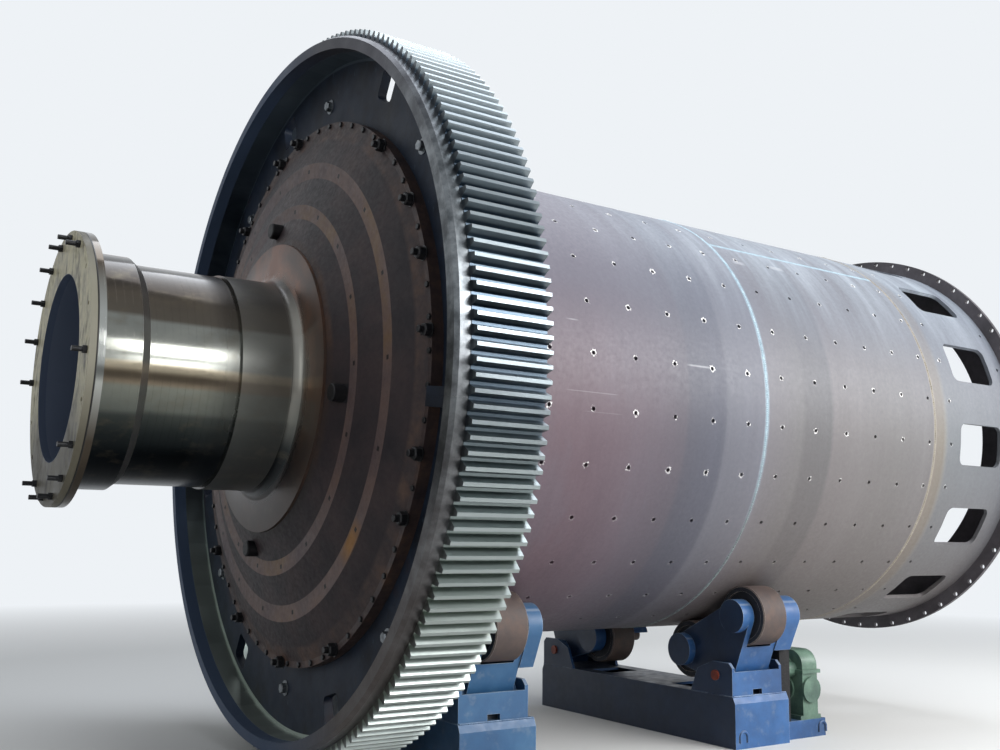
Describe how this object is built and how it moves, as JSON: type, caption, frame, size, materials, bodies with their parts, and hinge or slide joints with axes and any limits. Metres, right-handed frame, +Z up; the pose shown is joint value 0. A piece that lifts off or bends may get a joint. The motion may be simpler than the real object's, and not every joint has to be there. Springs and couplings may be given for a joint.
{
  "type": "rod mill drum on turning rolls",
  "caption": "Rod mill drum with stepped head, hollow trunnion, girth gear and slotted discharge shell, lying on blue self-aligning turning-roll stands.",
  "frame": {"origin": "on the floor under the middle of the mill", "axes": "+X along the mill axis towards the open discharge end, +Z up, -Y the side seen in the picture"},
  "size_m": [6.1404, 3.9598, 3.9849],
  "materials": {
    "machined_steel": "turned and oiled, dull shine with rust spots",
    "gear_steel": "hobbed tooth faces, bare and slightly dull",
    "cover_primer": "beige primer, scuffed",
    "cast_head": "dark brown oxide on a casting",
    "shell_plate": "rolled plate with red-brown oxide, rough",
    "end_flange": "dark oxidised plate",
    "frame_blue": "blue shop enamel, worn at the edges",
    "roller_rust": "rolled surface with brown rust",
    "reducer_green": "green machine enamel, oily",
    "guard_black": "black sheet guard, dusty",
    "pin_steel": "steel pin with red primer on its end"
  },
  "bodies": {
    "stands": {"drive_channel": "frame_blue", "drive_coupling_guard": "guard_black", "drive_reducer": "reducer_green", "stand_1_beam": "frame_blue", "stand_1_end_boxes": "frame_blue", "stand_1_pivot_pins": "pin_steel", "stand_1_rocker_far": "frame_blue", "stand_1_rocker_near": "frame_blue", "stand_2_beam": "frame_blue", "stand_2_end_boxes": "frame_blue", "stand_2_pivot_pins": "pin_steel", "stand_2_rocker_far": "frame_blue", "stand_2_rocker_near": "frame_blue"},
    "drum": {"discharge_end_flange": "end_flange", "discharge_plate_1": "shell_plate", "discharge_plate_2": "shell_plate", "discharge_plate_3": "shell_plate", "discharge_plate_4": "shell_plate", "discharge_plate_5": "shell_plate", "end_head": "cast_head", "girth_gear_lower_half": "gear_steel", "girth_gear_upper_half": "gear_steel", "shell_course_1_plate_1": "shell_plate", "shell_course_1_plate_2": "shell_plate", "shell_course_1_plate_3": "shell_plate", "shell_course_1_plate_4": "shell_plate", "shell_course_2_plate_1": "shell_plate", "shell_course_2_plate_2": "shell_plate", "shell_course_2_plate_3": "shell_plate", "shell_course_2_plate_4": "shell_plate", "shell_flange": "shell_plate", "trunnion": "machined_steel", "trunnion_cover_ring": "cover_primer", "trunnion_studs": "cast_head"},
    "stand_1_roller_far_inner": {"stand_1_roller_far_inner": "roller_rust"},
    "stand_1_roller_far_outer": {"stand_1_roller_far_outer": "roller_rust"},
    "stand_1_roller_near_inner": {"stand_1_roller_near_inner": "roller_rust"},
    "stand_1_roller_near_outer": {"stand_1_roller_near_outer": "roller_rust"},
    "stand_2_roller_far_inner": {"stand_2_roller_far_inner": "roller_rust"},
    "stand_2_roller_far_outer": {"stand_2_roller_far_outer": "roller_rust"},
    "stand_2_roller_near_inner": {"stand_2_roller_near_inner": "roller_rust"},
    "stand_2_roller_near_outer": {"stand_2_roller_near_outer": "roller_rust"}
  },
  "joints": [
    {"name": "drum_spin", "type": "hinge", "parent": "stands", "child": "drum", "pos_m": [0, 0, 2.005], "axis": [1, 0, 0], "continuous": true},
    {"name": "stand_1_roller_near_outer_spin", "type": "hinge", "parent": "stands", "child": "stand_1_roller_near_outer", "pos_m": [-0.99331, -0.91998, 0.75717], "axis": [1, 0, 0], "continuous": true},
    {"name": "stand_1_roller_near_inner_spin", "type": "hinge", "parent": "stands", "child": "stand_1_roller_near_inner", "pos_m": [-0.99331, -0.46231, 0.52524], "axis": [1, 0, 0], "continuous": true},
    {"name": "stand_1_roller_far_outer_spin", "type": "hinge", "parent": "stands", "child": "stand_1_roller_far_outer", "pos_m": [-0.99331, 0.91998, 0.75717], "axis": [1, 0, 0], "continuous": true},
    {"name": "stand_1_roller_far_inner_spin", "type": "hinge", "parent": "stands", "child": "stand_1_roller_far_inner", "pos_m": [-0.99331, 0.46231, 0.52524], "axis": [1, 0, 0], "continuous": true},
    {"name": "stand_2_roller_near_outer_spin", "type": "hinge", "parent": "stands", "child": "stand_2_roller_near_outer", "pos_m": [0.88769, -0.91998, 0.75717], "axis": [1, 0, 0], "continuous": true},
    {"name": "stand_2_roller_near_inner_spin", "type": "hinge", "parent": "stands", "child": "stand_2_roller_near_inner", "pos_m": [0.88769, -0.46231, 0.52524], "axis": [1, 0, 0], "continuous": true},
    {"name": "stand_2_roller_far_outer_spin", "type": "hinge", "parent": "stands", "child": "stand_2_roller_far_outer", "pos_m": [0.88769, 0.91998, 0.75717], "axis": [1, 0, 0], "continuous": true},
    {"name": "stand_2_roller_far_inner_spin", "type": "hinge", "parent": "stands", "child": "stand_2_roller_far_inner", "pos_m": [0.88769, 0.46231, 0.52524], "axis": [1, 0, 0], "continuous": true}
  ],
  "couplings": [
    {"joint": "stand_1_roller_near_outer_spin", "follows": "drum_spin", "ratio": -7.8571},
    {"joint": "stand_1_roller_near_inner_spin", "follows": "drum_spin", "ratio": -7.8571},
    {"joint": "stand_1_roller_far_outer_spin", "follows": "drum_spin", "ratio": -7.8571},
    {"joint": "stand_1_roller_far_inner_spin", "follows": "drum_spin", "ratio": -7.8571},
    {"joint": "stand_2_roller_near_outer_spin", "follows": "drum_spin", "ratio": -7.8571},
    {"joint": "stand_2_roller_near_inner_spin", "follows": "drum_spin", "ratio": -7.8571},
    {"joint": "stand_2_roller_far_outer_spin", "follows": "drum_spin", "ratio": -7.8571},
    {"joint": "stand_2_roller_far_inner_spin", "follows": "drum_spin", "ratio": -7.8571}
  ]
}
